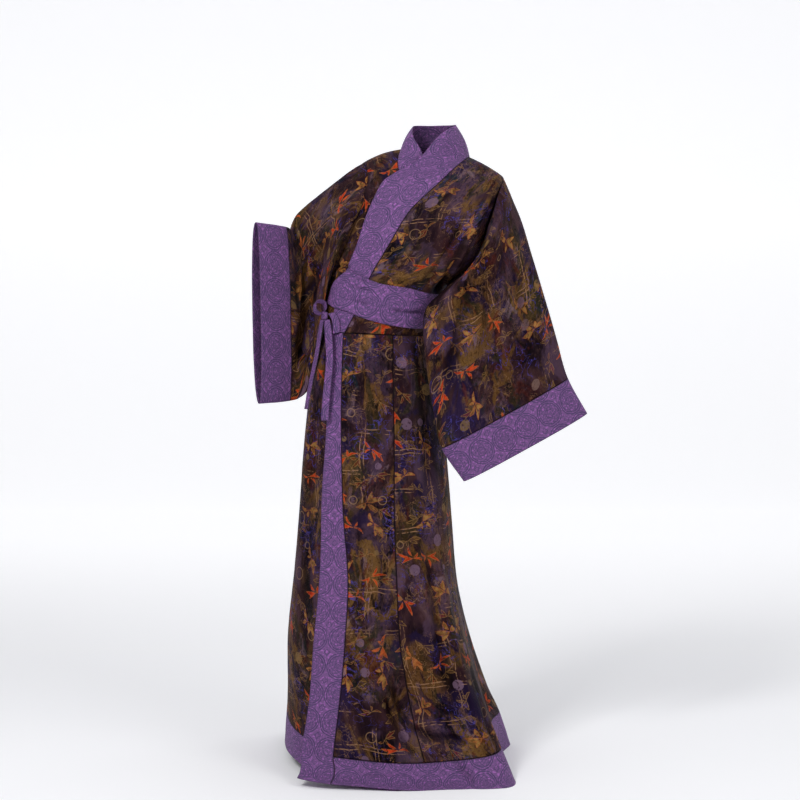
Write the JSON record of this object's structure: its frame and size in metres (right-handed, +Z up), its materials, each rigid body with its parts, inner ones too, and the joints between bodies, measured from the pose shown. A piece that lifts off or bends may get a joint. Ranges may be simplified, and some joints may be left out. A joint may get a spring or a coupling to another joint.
{
  "type": "straight-hem robe",
  "caption": "Floor-length crossed-front robe with wide hanging sleeves, patterned borders, a wide belt and a side tie, standing hollow as if worn.",
  "frame": {"origin": "the hold point at the middle of the base of the neck, from which the worn robe hangs", "axes": "+Z up, +X toward the wearer's left, the front facing -Y and turned a little toward -X"},
  "size_m": [0.8058, 0.6589, 1.5672],
  "materials": {
    "printed_cloth": "soft satin face, dark mottled print",
    "border_cloth": "purple jacquard with round medallions"
  },
  "bodies": {
    "root": {"bodice_left": "printed_cloth", "bodice_right": "printed_cloth", "collar": "border_cloth", "sleeve_left": "printed_cloth", "sleeve_right": "printed_cloth", "cuff_left": "border_cloth", "cuff_right": "border_cloth", "belt": "border_cloth", "front_border": "border_cloth", "skirt_front_inner": "printed_cloth", "skirt_front_outer": "printed_cloth", "skirt_under": "printed_cloth", "skirt_back": "printed_cloth", "hem_under": "border_cloth", "hem_back": "border_cloth", "hem_front": "border_cloth", "tie_knot": "border_cloth", "tie_loop": "border_cloth", "tie_end": "border_cloth", "tie_tail_left": "border_cloth", "tie_tail_right": "border_cloth"}
  },
  "joints": []
}
